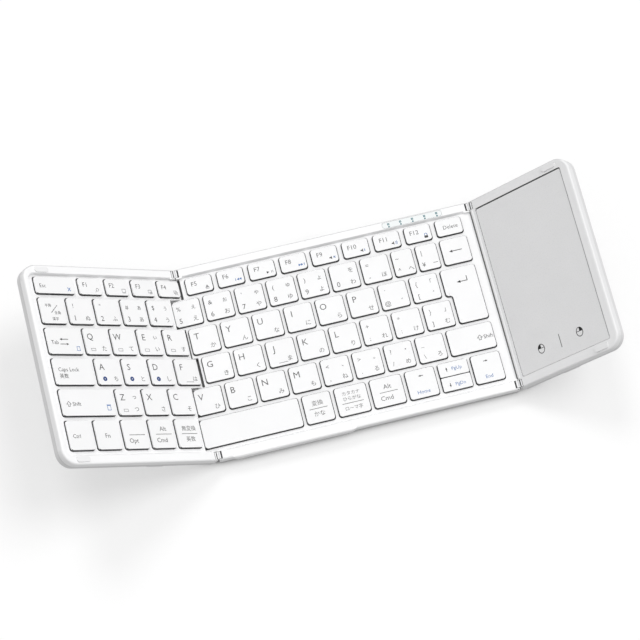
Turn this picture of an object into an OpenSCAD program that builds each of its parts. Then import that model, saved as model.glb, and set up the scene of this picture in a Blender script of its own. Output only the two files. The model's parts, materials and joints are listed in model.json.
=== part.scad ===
// Folding keyboard in three sections with a touchpad on the right wing.
// Every piece is drawn with the sections laid flat, and the wing modules then raise it to the rest pose.

/* [Sections] */
// Depth of every section, front edge to back edge
depth = 98; // [96:0.5:100]
// Distance from the centre line to each hinge seam
seam_x = 74.15; // [74.15:0.05:74.4]
// Width of the left wing, seam to outer edge
left_w = 89; // [88.5:0.1:89.1]
// Width of the right wing, seam to outer edge
right_w = 58.6; // [58:0.1:58.7]
// Height of a section from the underside of its feet to its border
body_h = 8; // [8:0.1:8.4]
// Angle of both wings above flat in the rest pose
wing_angle = 39.5; // [0:0.5:120]

/* [Hinges] */
// Distance between the two axes of a hinge link
axis_gap = 2.2; // [2.2:0.1:2.4]
// Depth of the hinge axes below the border
axis_drop = 0.8; // [0.75:0.05:0.8]
// Radius of a hinge pin
pin_r = 0.45; // [0.35:0.05:0.5]
// Radial clearance of a link on its pins
pin_play = 0.04; // [0.02:0.01:0.08]
// Radius of a link round each axis
link_r = 0.9; // [0.8:0.05:0.9]

/* [Keys] */
// Distance from key to key along a row
pitch = 15.65; // [15.6:0.01:15.7]
// Width of a standard key cap
cap_w = 13.55; // [13:0.05:13.6]
// Width of a key cap in the function row
function_cap_w = 12.85; // [12:0.05:13]
// Corner radius of a key cap
cap_r = 1.1; // [0.6:0.1:1.5]
// Gap round a key cap in its opening
cap_gap = 0.35; // [0.25:0.05:0.4]
// Height of a key cap above the deck
cap_rise = 1.2; // [0.8:0.1:1.2]
// Depth of the deck below the border
deck_drop = 1.3; // [1.1:0.1:1.5]
// Wall thickness of a key cap
cap_wall = 0.8; // [0.6:0.1:1]

/* [Casings] */
// Height of the rubber feet
foot_h = 0.5; // [0.3:0.1:0.5]
// Thickness of the floor of a bottom shell
floor_t = 0.8; // [0.6:0.1:0.8]
// Thickness of the outer walls
wall = 1.2; // [1:0.1:1.3]
// Height of the joint between a shell and its top frame
split_z = 4.4; // [4.4:0.1:4.6]
// Step between a top frame and its shell, which shows as a line
split_step = 0.2; // [0.1:0.05:0.3]
// Thickness of the deck plate of a top frame
deck_t = 1.2; // [1:0.1:1.2]
// Plan radius of the outer corners
corner_r = 7.5; // [5:0.5:9]
// Radius of the upper outer edges
top_edge_r = 0.9; // [0.4:0.1:1]
// Radius of the lower outer edges
low_edge_r = 1.6; // [0.8:0.1:1.8]

/* [Hidden] */
$fn = 48;
eps = 0.01;

// Colours
white = [0.96, 0.96, 0.97];
shell_white = [0.9, 0.9, 0.91];
pad_grey = [0.84, 0.84, 0.84];
steel = [0.7, 0.71, 0.73];
board_green = [0.1, 0.35, 0.2];
film = [0.75, 0.78, 0.8];
rubber_white = [0.88, 0.88, 0.88];
black = [0.1, 0.1, 0.11];
amber = [0.72, 0.45, 0.12];

// Heights of the layers, from the rest plane up
deck_z = body_h - deck_drop;
cap_top = deck_z + cap_rise;
key_travel = 1.1;
floor_z = foot_h + floor_t;
plate_t = 0.5;
membrane_t = 0.2;
sheet_t = 0.2;
membrane_z = split_z;
sheet_z = membrane_z + membrane_t;
dome_z = sheet_z + sheet_t;
cap_bottom = dome_z + key_travel + 0.05;
axis_z = body_h - axis_drop;
dome_top = cap_bottom - 0.05;

// Plan positions
half = depth / 2;
border_y = 44;
inner_axis = seam_x - axis_gap / 2;
outer_axis = seam_x + axis_gap / 2;
seam_gap = 0.45;
half_angle = wing_angle / 2;
left_edge = -seam_x - left_w;
right_edge = seam_x + right_w;
// The plan is drawn round the centre section, and the origin is the middle of the whole at rest
origin_x = (left_w - right_w) / 2 * cos(wing_angle);

// Rows of keys, from the back: centre and depth of each row
row_y = [38.85, 26.15, 11.05, -4.05, -19.15, -35];
row_d = [8.3, 13, 13, 13, 13, 14.25];
// Lines between the rows, where the left seam steps
row_line = [border_y, 33.4, 18.25, 3.15, -11.95, -27, -border_y];
// Edge of the centre section at the left seam, row by row
seam_step = [-72.15, -79.3, -74.75, -72.15, -79.2, -79.6];
step_gap = 0.45;
line_gap = 0.2;

// First key and number of keys in each run: [left edge of the first cap, count, cap width]
function run(start, count, w) = [for (i = [0:count - 1]) [start + i * pitch, w]];
left_col = -157.85;

esc_caps = [[left_col, 21.8]];
left_function_caps = run(-133.1, 4, function_cap_w);
left_number_caps = concat([[left_col, 13.65]], run(-142.2, 4, cap_w));
tab_caps = [[left_col, 19]];
left_upper_caps = run(-136.75, 4, cap_w);
caps_lock_caps = [[left_col, 21.75]];
left_home_caps = run(-134, 4, cap_w);
left_shift_caps = [[left_col, 29.7]];
left_lower_caps = run(-126.05, 3, cap_w);
left_modifier_caps = concat([[left_col, 13.45]], run(-142.35, 4, cap_w));

function_caps = run(-69.85, 9, function_cap_w);
number_caps = concat(run(-78.93, 7, cap_w), [[30.55, 10.2], [42.75, 10.3]]);
backspace_caps = [[55.15, 13.6]];
upper_caps = run(-73.75, 8, cap_w);
home_caps = run(-70.8, 8, cap_w);
lower_caps = run(-78.65, 8, cap_w);
right_shift_caps = [[46.45, 22.3]];
space_caps = [[-79.05, 48.2]];
bottom_caps = [[-28.85, 13.55], [-13.05, 15.4], [4.35, 15.4], [21.85, 14.25], [54.45, 14.2]];
arrow_x = 38.15;
arrow_w = 14.45;
page_split = 0.3;
enter_top_x = 51.5;
enter_low_x = 54.45;
enter_right = 68.75;
enter_notch_y = 4.2;

// Rectangle with round corners, by its lower left corner
module round_rect(x, y, w, d, r) {
    union() {
        translate([x + r, y]) square([w - 2 * r, d]);
        translate([x, y + r]) square([w, d - 2 * r]);
        for (px = [x + r, x + w - r], py = [y + r, y + d - r])
            translate([px, py]) circle(r);
    }
}

// Caps of one row as flat outlines, grown by a margin
module row_outline(caps, row, grow) {
    for (cap = caps)
        round_rect(cap[0] - grow, row_y[row] - row_d[row] / 2 - grow,
                   cap[1] + 2 * grow, row_d[row] + 2 * grow, cap_r + grow);
}

module enter_outline(grow) {
    top_y = row_y[2] + row_d[2] / 2;
    low_y = row_y[3] - row_d[3] / 2;
    round_rect(enter_top_x - grow, enter_notch_y - grow,
               enter_right - enter_top_x + 2 * grow, top_y - enter_notch_y + 2 * grow, cap_r + grow);
    round_rect(enter_low_x - grow, low_y - grow,
               enter_right - enter_low_x + 2 * grow, top_y - low_y + 2 * grow, cap_r + grow);
}

// The two half-height caps that share one key's place
arrow_d = (row_d[5] - page_split) / 2;
module page_outline(upper, grow) {
    y = upper ? row_y[5] + page_split / 2 : row_y[5] - page_split / 2 - arrow_d;
    round_rect(arrow_x - grow, y - grow, arrow_w + 2 * grow, arrow_d + 2 * grow, cap_r / 2 + grow);
}

module center_openings(grow) {
    row_outline(function_caps, 0, grow);
    row_outline(number_caps, 1, grow);
    row_outline(backspace_caps, 1, grow);
    row_outline(upper_caps, 2, grow);
    row_outline(home_caps, 3, grow);
    row_outline(lower_caps, 4, grow);
    row_outline(right_shift_caps, 4, grow);
    row_outline(space_caps, 5, grow);
    row_outline(bottom_caps, 5, grow);
    enter_outline(grow);
    round_rect(arrow_x - grow, row_y[5] - row_d[5] / 2 - grow,
               arrow_w + 2 * grow, row_d[5] + 2 * grow, cap_r + grow);
    seam_side_openings(grow);
}

// The caps nearest the left seam in the three stepped-out rows stand at its very edge
module seam_side_openings(grow) {
    for (i = [1, 4, 5])
        translate([seam_step[i] - 1, row_y[i] - row_d[i] / 2 - grow])
            square([5, row_d[i] + 2 * grow]);
}

module left_openings(grow) {
    row_outline(concat(esc_caps, left_function_caps), 0, grow);
    row_outline(left_number_caps, 1, grow);
    row_outline(concat(tab_caps, left_upper_caps), 2, grow);
    row_outline(concat(caps_lock_caps, left_home_caps), 3, grow);
    row_outline(concat(left_shift_caps, left_lower_caps), 4, grow);
    row_outline(left_modifier_caps, 5, grow);
}

// Plan of the centre section: straight at its borders, stepped between the rows at the left seam
module center_plan() {
    right_x = seam_x - seam_gap;
    for (side = [-1, 1])
        translate([-right_x, side > 0 ? border_y : -half])
            square([2 * right_x, half - border_y]);
    for (i = [0:5])
        translate([seam_step[i], row_line[i + 1]])
            square([right_x - seam_step[i], row_line[i] - row_line[i + 1]]);
}

// Plate over the full depth, with round corners or, for an outer_r of 0, square ones
module outer_plan(x, w, outer_r) {
    if (outer_r > 0) round_rect(x, -half, w, depth, outer_r);
    else translate([x, -half]) square([w, depth]);
}

// Plan of the left wing: a plate less the stepped edge of the centre section
module left_plan(outer_r = corner_r) {
    straight_x = -seam_x - seam_gap;
    reach = 12;
    difference() {
        outer_plan(left_edge, left_w + reach, outer_r);
        for (side = [-1, 1])
            translate([straight_x, side > 0 ? border_y : -half - eps])
                square([3 * reach, half - border_y + 2 * eps]);
        for (i = [0:5])
            translate([seam_step[i] - step_gap, row_line[i + 1] - line_gap])
                square([3 * reach, row_line[i] - row_line[i + 1] + 2 * line_gap]);
    }
}

module right_plan(outer_r = corner_r) {
    straight_x = seam_x + seam_gap;
    reach = 12;
    intersection() {
        outer_plan(straight_x - reach, right_edge - straight_x + reach, outer_r);
        translate([straight_x, -half]) square([right_w, depth]);
    }
}

// A plan drawn in by a margin on every side
module inset(t) {
    intersection() {
        translate([t, t]) children();
        translate([-t, t]) children();
        translate([t, -t]) children();
        translate([-t, -t]) children();
    }
}

module band(half_y) {
    translate([left_edge - 10, -half_y]) square([right_edge - left_edge + 20, 2 * half_y]);
}

module slab(z, t) {
    translate([0, 0, z]) linear_extrude(t) children();
}

// Outlines drawn as [X, Z], run along Y, and outlines drawn as [Y, Z], run along X
module along_y(y0, y1) {
    translate([0, y1, 0]) rotate([90, 0, 0]) linear_extrude(y1 - y0) children();
}

module along_x(x0, x1) {
    translate([x0, 0, 0]) rotate([90, 0, 90]) linear_extrude(x1 - x0) children();
}

// Cross-section from a middle at 0 to an edge at w, which is rounded below or above
module half_section(w, z0, z1, low_r, high_r) {
    r = max(low_r, high_r);
    union() {
        translate([0, z0]) square([w - r, z1 - z0]);
        translate([0, z0 + low_r]) square([w, z1 - z0 - low_r - high_r]);
        if (low_r > 0) translate([w - low_r, z0 + low_r]) circle(low_r);
        if (high_r > 0) translate([w - high_r, z1 - high_r]) circle(high_r);
    }
}

module full_section(w, z0, z1, low_r, high_r) {
    union() for (m = [0, 1]) mirror([m, 0, 0]) half_section(w, z0, z1, low_r, high_r);
}

// Blank of a section with rounded front and back edges
module center_blank(t, z0, z1, low_r, high_r) {
    along_x(-2 * seam_x, 2 * seam_x) full_section(half - t, z0, z1, low_r, high_r);
}

// Blank of a wing of width w, whose outer edge is at 0 and which lies on the +X side of it
module wing_blank(w, t, z0, z1, low_r, high_r) {
    straight = half - corner_r;
    union() {
        along_x(corner_r, w) full_section(half - t, z0, z1, low_r, high_r);
        along_y(-straight, straight)
            translate([corner_r, 0]) full_section(corner_r - t, z0, z1, low_r, high_r);
        for (s = [-1, 1]) translate([corner_r, s * straight, 0])
            rotate_extrude() half_section(corner_r - t, z0, z1, low_r, high_r);
    }
}

module left_blank(t, z0, z1, low_r, high_r) {
    translate([left_edge, 0, 0]) wing_blank(left_w + corner_r, t, z0, z1, low_r, high_r);
}

module right_blank(t, z0, z1, low_r, high_r) {
    translate([right_edge, 0, 0]) mirror([1, 0, 0]) wing_blank(right_w, t, z0, z1, low_r, high_r);
}

// Place of the centre section, and from it the rest pose of the links and of the wings
module placed() {
    translate([origin_x, 0, 0]) children();
}

module left_link_pose() {
    placed() translate([-inner_axis, 0, axis_z]) rotate([0, half_angle, 0])
        translate([inner_axis, 0, -axis_z]) children();
}

module left_wing_pose() {
    left_link_pose()
        translate([-outer_axis, 0, axis_z]) rotate([0, half_angle, 0])
            translate([outer_axis, 0, -axis_z]) children();
}

module right_link_pose() {
    placed() translate([inner_axis, 0, axis_z]) rotate([0, -half_angle, 0])
        translate([-inner_axis, 0, -axis_z]) children();
}

module right_wing_pose() {
    right_link_pose()
        translate([outer_axis, 0, axis_z]) rotate([0, -half_angle, 0])
            translate([-outer_axis, 0, -axis_z]) children();
}

// Hinges. Each seam has one link at the front and one at the back.
link_y0 = 44.75;
link_y1 = 48.25;
notch_y0 = 44.6;
notch_y1 = 48.4;
notch_room = 0.25;
pin_y0 = 44.1;
pin_y1 = 48.7;
web_h = 1.1;
seat_play = 0.01;

module both_ends() {
    children();
    mirror([0, 1, 0]) children();
}

// Rod along Y from y0 to y1
module rod_y(x, z, y0, y1, r) {
    translate([x, y0, z]) rotate([-90, 0, 0]) cylinder(h = y1 - y0, r = r);
}

// Room for a link in the border of a section: dir is -1 when the section lies to the right of the seam
module link_room(axis_x, dir) {
    room = link_r + notch_room;
    past_seam = 4;
    both_ends()
        translate([min(axis_x - dir * room, axis_x + dir * past_seam), notch_y0, axis_z - room])
            cube([room + past_seam, notch_y1 - notch_y0, body_h]);
}

// Bores for a pin in the ears beside that room, open at the outer end
module pin_seat(axis_x) {
    both_ends() rod_y(axis_x, axis_z, pin_y0 - eps, depth, pin_r + seat_play);
}

module hinge_links(side) {
    both_ends()
        difference() {
            union() {
                rod_y(side * inner_axis, axis_z, link_y0, link_y1, link_r);
                rod_y(side * outer_axis, axis_z, link_y0, link_y1, link_r);
                translate([side * seam_x - axis_gap / 2, link_y0, axis_z - web_h / 2])
                    cube([axis_gap, link_y1 - link_y0, web_h]);
            }
            for (x = [side * inner_axis, side * outer_axis])
                rod_y(x, axis_z, link_y0 - 1, link_y1 + 1, pin_r + pin_play);
        }
}

module hinge_pins(axis_x) {
    both_ends() rod_y(axis_x, axis_z, pin_y0, pin_y1, pin_r);
}

module left_hinge_links() color(steel) left_link_pose() hinge_links(-1);
module right_hinge_links() color(steel) right_link_pose() hinge_links(1);
module left_hinge_inner_pins() color(steel) placed() hinge_pins(-inner_axis);
module left_hinge_outer_pins() color(steel) left_wing_pose() hinge_pins(-outer_axis);
module right_hinge_inner_pins() color(steel) placed() hinge_pins(inner_axis);
module right_hinge_outer_pins() color(steel) right_wing_pose() hinge_pins(outer_axis);

// Screws from below, through posts of the shell into the border bars
screw_y = 46.4;
screw_r = 0.7;
head_r = 1.3;
head_h = 0.6;
head_z = foot_h + 0.1;
screw_top = 6.3;
tip_room = 0.1;
post_r = 1.9;
shell_play = 0.1;
thread_play = 0.02;
center_screw_x = [-62, 12, 62];
left_screw_x = [-148, -88];
right_screw_x = [82, 122];

module screws(xs) {
    for (x = xs) both_ends() translate([x, screw_y, head_z]) {
        cylinder(h = head_h, r = head_r);
        cylinder(h = screw_top - head_z, r = screw_r);
    }
}

module screw_bores(xs, play) {
    for (x = xs) both_ends() translate([x, screw_y, 0]) {
        cylinder(h = screw_top + tip_room, r = screw_r + play);
        cylinder(h = head_z + head_h, r = head_r + play);
    }
}

module posts(xs) {
    for (x = xs) both_ends()
        translate([x, screw_y, floor_z - eps]) cylinder(h = split_z - floor_z + eps, r = post_r);
}

module center_screws() color(steel) placed() screws(center_screw_x);
module left_screws() color(steel) left_wing_pose() screws(left_screw_x);
module right_screws() color(steel) right_wing_pose() screws(right_screw_x);

// Charging port in the back wall of the centre section
port_x = -6.6;
port_w = 8.9;
port_h = 2.95;
port_y0 = 41.4;
port_y1 = 48.5;
port_z = floor_z + 0.02;
port_play = 0.08;

module port_outline(grow) {
    translate([port_x, port_z + port_h / 2])
        union() {
            square([port_w - port_h, port_h + 2 * grow], center = true);
            for (s = [-1, 1]) translate([s * (port_w - port_h) / 2, 0]) circle(port_h / 2 + grow);
        }
}

module usb_c_port() color(steel) placed() {
    tongue_w = 6.6;
    tongue_t = 0.7;
    tongue_back = 0.1;
    shell_t = 0.3;
    rear_t = 1.2;
    tongue_y0 = port_y0 + rear_t / 2;
    difference() {
        along_y(port_y0, port_y1) port_outline(0);
        along_y(port_y0 + rear_t, half + 1) port_outline(-shell_t);
    }
    translate([port_x - tongue_w / 2, tongue_y0, port_z + (port_h - tongue_t) / 2])
        cube([tongue_w, port_y1 - tongue_back - tongue_y0, tongue_t]);
}

// Notch for the port in the sheets that it passes
module port_notch(room) {
    translate([port_x - port_w / 2 - room, port_y0, 0])
        cube([port_w + 2 * room, half - port_y0, body_h]);
}

// Bottom shells. Children: the plan with square outer corners, the plan, the blank.
module bottom_shell(xs) {
    difference() {
        intersection() {
            slab(foot_h, split_z - foot_h) inset(split_step) children(0);
            children(2);
        }
        difference() {
            slab(floor_z, split_z) inset(wall + split_step) children(1);
            posts(xs);
        }
        screw_bores(xs, shell_play);
    }
}

module center_bottom_shell() color(shell_white) placed()
    difference() {
        bottom_shell(center_screw_x) {
            center_plan();
            center_plan();
            center_blank(split_step, foot_h, split_z, low_edge_r, 0);
        }
        along_y(half - 2 * wall, half + 1) port_outline(port_play);
    }

module left_bottom_shell() color(shell_white) left_wing_pose()
    bottom_shell(left_screw_x) {
        left_plan(0);
        left_plan();
        left_blank(split_step, foot_h, split_z, low_edge_r, 0);
    }

module right_bottom_shell() color(shell_white) right_wing_pose()
    bottom_shell(right_screw_x) {
        right_plan(0);
        right_plan();
        right_blank(split_step, foot_h, split_z, low_edge_r, 0);
    }

// Top frames. Children: the plan, the cap openings, the recess of the deck, the solid blank.
frame_rim = 1.5;

module key_frame(xs) {
    difference() {
        children(3);
        slab(split_z - eps, deck_z - deck_t - split_z + eps) intersection() {
            inset(frame_rim) children(0);
            band(border_y - 0.2);
        }
        slab(split_z - 1, body_h) children(1);
        children(2);
        screw_bores(xs, thread_play);
    }
}

// Recess of the deck: its walls slope out to the border, and stand upright beside the hinges
slope_run = 0.9;
recess_top = body_h + 1;
recess_run = slope_run * (recess_top - deck_z) / deck_drop;
upright_l = 3.5;

module recess_section() {
    polygon([[-border_y, deck_z], [border_y, deck_z],
             [border_y + recess_run, recess_top], [-border_y - recess_run, recess_top]]);
}

module center_recess() {
    slab(deck_z, body_h) band(border_y);
    along_x(upright_l - seam_x, seam_x - upright_l) recess_section();
}

recess_r = 2.5;
module left_recess() {
    deck_left_x = left_edge + 3.1;
    bend_x = deck_left_x + recess_r;
    bend_y = border_y - recess_r;
    upright_x = -seam_x - upright_l;
    translate([upright_x, -border_y, deck_z]) cube([2 * recess_r + 20, 2 * border_y, body_h]);
    along_x(bend_x, upright_x) recess_section();
    along_y(-bend_y, bend_y)
        polygon([[deck_left_x, deck_z], [bend_x + recess_r, deck_z],
                 [bend_x + recess_r, recess_top], [deck_left_x - recess_run, recess_top]]);
    for (s = [-1, 1]) translate([bend_x, s * bend_y, deck_z])
        cylinder(h = recess_top - deck_z, r1 = recess_r, r2 = recess_r + recess_run);
}

// Lip along part of the front edge, for a fingernail under the folded wings
lip = 0.7;
lip_x = [-65, -9];
lip_ramp = 2;
module front_lip() {
    intersection() {
        slab(split_z, body_h - split_z)
            polygon([[lip_x[0] - lip_ramp, -border_y], [lip_x[0] - lip_ramp, -half],
                     [lip_x[0], -half - lip], [lip_x[1], -half - lip],
                     [lip_x[1] + lip_ramp, -half], [lip_x[1] + lip_ramp, -border_y]]);
        along_x(lip_x[0] - 2 * lip_ramp, lip_x[1] + 2 * lip_ramp)
            full_section(half + lip, split_z, body_h, 0, top_edge_r);
    }
}

module center_top_frame() color(white) placed()
    difference() {
        key_frame(center_screw_x) {
            center_plan();
            center_openings(cap_gap);
            center_recess();
            union() {
                intersection() {
                    slab(split_z, body_h - split_z) center_plan();
                    center_blank(0, split_z, body_h, 0, top_edge_r);
                }
                front_lip();
            }
        }
        link_room(-inner_axis, -1);
        link_room(inner_axis, 1);
        pin_seat(-inner_axis);
        pin_seat(inner_axis);
        window_room();
        groove();
    }

module left_top_frame() color(white) left_wing_pose()
    difference() {
        key_frame(left_screw_x) {
            left_plan();
            left_openings(cap_gap);
            left_recess();
            intersection() {
                slab(split_z, body_h - split_z) left_plan(0);
                left_blank(0, split_z, body_h, 0, top_edge_r);
            }
        }
        link_room(-outer_axis, 1);
        pin_seat(-outer_axis);
        bumper_pads(left_bumper_x, pad_play, bumper_sink);
    }

// Short witness line in the front border
groove_x = -9.1;
groove_w = 0.4;
groove_y = -48.4;
groove_l = 3.2;
groove_t = 0.15;
module groove() {
    translate([groove_x, groove_y, body_h - groove_t]) cube([groove_w, groove_l, 1]);
}

// Indicator window, flush in the back border
window_x = 30;
window_w = 30.3;
window_y = 45;
window_d = 3.3;
window_t = 0.6;
window_r = 0.8;
window_play = 0.02;
module window_outline(inset_by) {
    round_rect(window_x + inset_by, window_y + inset_by, window_w - 2 * inset_by,
               window_d - 2 * inset_by, window_r);
}
module window_room() {
    slab(body_h - window_t, 1) window_outline(0);
}
module indicator_window() color(white) placed()
    slab(body_h - window_t, window_t) window_outline(window_play);

// Rubber bumpers on the wing borders, which keep the folded wings off the centre section
bumper_l = 7.5;
bumper_w = 2.6;
bumper_sink = 0.4;
bumper_rise = 0.45;
bumper_y = 46.5;
bumper_r = 1.2;
pad_play = 0.02;
left_bumper_x = -seam_x - 82.3;
right_bumper_x = seam_x + 44.6;
module bumper_pads(x, grow, sink) {
    both_ends()
        slab(body_h - sink, sink + bumper_rise)
            round_rect(x - grow, bumper_y - bumper_w / 2 - grow, bumper_l + 2 * grow,
                       bumper_w + 2 * grow, bumper_r);
}
module left_bumpers() color(rubber_white) left_wing_pose()
    bumper_pads(left_bumper_x, 0, bumper_sink);
module right_bumpers() color(rubber_white) right_wing_pose()
    bumper_pads(right_bumper_x, 0, bumper_sink);

// Touchpad wing
touch_x0 = seam_x + 3.3;
touch_w = 50.7;
touch_d = 87.8;
touch_t = 1;
touch_drop = 0.2;
touch_z = body_h - touch_drop - touch_t;
touch_gap = 0.2;
touch_ledge = 1.5;
touch_r = 0.9;
board_t = 1;
bead_r = 1.05;
module touch_outline(grow) {
    round_rect(touch_x0 - grow, -touch_d / 2 - grow, touch_w + 2 * grow, touch_d + 2 * grow,
               touch_r);
}
// The bead along the seam lies round the outer hinge axis, so the gap stays even as the wing turns
module right_top_frame() color(white) right_wing_pose()
    difference() {
        union() {
            intersection() {
                slab(split_z, body_h - split_z) right_plan(0);
                right_blank(0, split_z, body_h, 0, top_edge_r);
            }
            rod_y(outer_axis, axis_z, -border_y, border_y, bead_r);
        }
        slab(touch_z, body_h) touch_outline(touch_gap);
        slab(split_z - 1, body_h) touch_outline(-touch_ledge);
        screw_bores(right_screw_x, thread_play);
        link_room(outer_axis, -1);
        pin_seat(outer_axis);
        bumper_pads(right_bumper_x, pad_play, bumper_sink);
    }
module touchpad_plate() color(pad_grey) right_wing_pose()
    slab(touch_z, touch_t) touch_outline(0);
module touchpad_board() color(board_green) right_wing_pose()
    slab(touch_z - board_t, board_t) touch_outline(-touch_ledge - touch_gap);

// Layers under the keys: plates between the walls of a shell, and films inside a top frame
plate_play = 0.1;
film_play = 0.2;
module plate_plan() {
    intersection() {
        inset(wall + split_step + plate_play) children();
        band(screw_y - post_r - plate_play);
    }
}
module film_plan() {
    intersection() {
        inset(frame_rim + film_play) children();
        band(border_y - 0.5);
    }
}
module center_support_plate() color(steel) placed()
    difference() {
        slab(split_z - plate_t, plate_t) plate_plan() center_plan();
        port_notch(0.3);
    }
module left_support_plate() color(steel) left_wing_pose()
    slab(split_z - plate_t, plate_t) plate_plan() left_plan();
module center_membrane() color(film) placed()
    slab(membrane_z, membrane_t) film_plan() center_plan();
module left_membrane() color(film) left_wing_pose()
    slab(membrane_z, membrane_t) film_plan() left_plan();

// Rubber domes, one under each cap: a wide skirt that collapses, and a narrower tip
dome_r = 2.1;
tip_r = 1.4;
skirt_share = 0.6;
module dome(x, y) {
    translate([x, y, dome_z - eps]) {
        cylinder(h = (dome_top - dome_z) * skirt_share, r = dome_r);
        cylinder(h = dome_top - dome_z + eps, r = tip_r);
    }
}
module row_domes(caps, row) {
    for (cap = caps) dome(cap[0] + cap[1] / 2, row_y[row]);
}

// The two nested frames of a scissor support lie round each dome, folded flat. The low caps of
// the function row and the narrowest caps have room for the outer one only.
ring_z = dome_z + 0.05;
ring_t = 0.8;
bar = 0.8;
bar_gap = 0.2;
scissor_w = 10.4;
scissor_d = 9.6;
low_scissor_d = 6.2;
scissor_room = 0.5;
module ring(w, d) {
    difference() {
        square([w, d], center = true);
        square([w - 2 * bar, d - 2 * bar], center = true);
    }
}
module scissor(x, y, w, row) {
    outer_w = min(scissor_w, w - 2 * (cap_wall + scissor_room));
    outer_d = row == 0 ? low_scissor_d : scissor_d;
    inner_w = outer_w - 2 * (bar + bar_gap);
    inner_d = outer_d - 2 * (bar + bar_gap);
    translate([x, y]) {
        ring(outer_w, outer_d);
        if (row > 0 && inner_w - 2 * bar > 2 * dome_r) ring(inner_w, inner_d);
    }
}
module row_scissors(caps, row) {
    slab(ring_z, ring_t) for (cap = caps) scissor(cap[0] + cap[1] / 2, row_y[row], cap[1], row);
}

center_rows = [function_caps, concat(number_caps, backspace_caps), upper_caps, home_caps,
               concat(lower_caps, right_shift_caps), concat(space_caps, bottom_caps)];
left_rows = [concat(esc_caps, left_function_caps), left_number_caps,
             concat(tab_caps, left_upper_caps), concat(caps_lock_caps, left_home_caps),
             concat(left_shift_caps, left_lower_caps), left_modifier_caps];
enter_x = (enter_low_x + enter_right) / 2;
enter_y = (row_y[2] + row_y[3]) / 2;
page_y = (page_split + arrow_d) / 2;

module center_dome_sheet() color(film) placed() {
    slab(sheet_z, sheet_t) film_plan() center_plan();
    for (i = [0:5]) row_domes(center_rows[i], i);
    dome(enter_x, enter_y);
    for (s = [-1, 1]) dome(arrow_x + arrow_w / 2, row_y[5] + s * page_y);
}
module left_dome_sheet() color(film) left_wing_pose() {
    slab(sheet_z, sheet_t) film_plan() left_plan();
    for (i = [0:5]) row_domes(left_rows[i], i);
}
module center_scissor_frames() color(rubber_white) placed() {
    for (i = [0:5]) row_scissors(center_rows[i], i);
    slab(ring_z, ring_t) scissor(enter_x, enter_y, enter_right - enter_low_x, 2);
}
module left_scissor_frames() color(rubber_white) left_wing_pose()
    for (i = [0:5]) row_scissors(left_rows[i], i);

// Key caps: a top plate on a skirt, open below
module cap_solid() {
    difference() {
        slab(cap_bottom, cap_top - cap_bottom) children(0);
        slab(cap_bottom - 1, cap_top - cap_wall - cap_bottom + 1) children(1);
    }
}
module key_bank(caps, row) {
    color(white) cap_solid() {
        row_outline(caps, row, 0);
        row_outline(caps, row, -cap_wall);
    }
}

module esc_key() left_wing_pose() key_bank(esc_caps, 0);
module left_function_keys() left_wing_pose() key_bank(left_function_caps, 0);
module left_number_keys() left_wing_pose() key_bank(left_number_caps, 1);
module tab_key() left_wing_pose() key_bank(tab_caps, 2);
module left_upper_letter_keys() left_wing_pose() key_bank(left_upper_caps, 2);
module caps_lock_key() left_wing_pose() key_bank(caps_lock_caps, 3);
module left_home_row_keys() left_wing_pose() key_bank(left_home_caps, 3);
module left_shift_key() left_wing_pose() key_bank(left_shift_caps, 4);
module left_lower_letter_keys() left_wing_pose() key_bank(left_lower_caps, 4);
module left_modifier_keys() left_wing_pose() key_bank(left_modifier_caps, 5);

module function_keys() placed() key_bank(function_caps, 0);
module number_keys() placed() key_bank(number_caps, 1);
module backspace_key() placed() key_bank(backspace_caps, 1);
module upper_letter_keys() placed() key_bank(upper_caps, 2);
module home_row_keys() placed() key_bank(home_caps, 3);
module lower_letter_keys() placed() key_bank(lower_caps, 4);
module right_shift_key() placed() key_bank(right_shift_caps, 4);
module space_key() placed() key_bank(space_caps, 5);
module bottom_row_keys() placed() key_bank(bottom_caps, 5);
module enter_key() color(white) placed() cap_solid() {
    enter_outline(0);
    enter_outline(-cap_wall);
}
module page_key(upper) color(white) placed() cap_solid() {
    page_outline(upper, 0);
    page_outline(upper, -cap_wall / 2);
}
module page_up_key() page_key(true);
module page_down_key() page_key(false);

// Electronics in the centre section. A chip is [x, y, width, depth, height].
main_board_x = -26;
main_board_y = 12;
main_board_w = 88;
main_board_d = 31.6;
main_board_t = 0.8;
ribbon_socket_x = [-22, 54];
ribbon_socket = [4, 9, 1.6];
ribbon_socket_y = 14;
chips = [[-8, 22, 7, 7, 1], [12, 20, 10, 6, 1.2], [34, 26, 5, 5, 1]];
module main_board() {
    chip_z = floor_z + main_board_t - eps;
    color(board_green) placed() difference() {
        translate([main_board_x, main_board_y, floor_z])
            cube([main_board_w, main_board_d, main_board_t]);
        port_notch(0.2);
    }
    color(black) placed() {
        for (c = chips) translate([c[0], c[1], chip_z]) cube([c[2], c[3], c[4]]);
        for (x = ribbon_socket_x) translate([x, ribbon_socket_y, chip_z]) cube(ribbon_socket);
    }
}

// Flat pouch cell beside the board
cell_x = -67;
cell_y = -39;
cell_w = 54;
cell_d = 46;
cell_t = 2.2;
cell_r = 1.5;
module battery() color(film) placed()
    slab(floor_z, cell_t) round_rect(cell_x, cell_y, cell_w, cell_d, cell_r);

// Ribbon cables from the board's sockets to the two seams, where they pass to the wings
ribbon_y = 15;
ribbon_z = split_z - plate_t - 0.2;
ribbon_t = 0.12;
ribbon_w = 7;
ribbon_end_x = [-69.8, 71];
module flex_cables() color(amber) placed() {
    left_start_x = ribbon_socket_x[0] + ribbon_socket[0];
    right_start_x = ribbon_socket_x[1];
    translate([ribbon_end_x[0], ribbon_y, ribbon_z])
        cube([left_start_x - ribbon_end_x[0], ribbon_w, ribbon_t]);
    translate([right_start_x, ribbon_y, ribbon_z])
        cube([ribbon_end_x[1] - right_start_x, ribbon_w, ribbon_t]);
}

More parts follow.
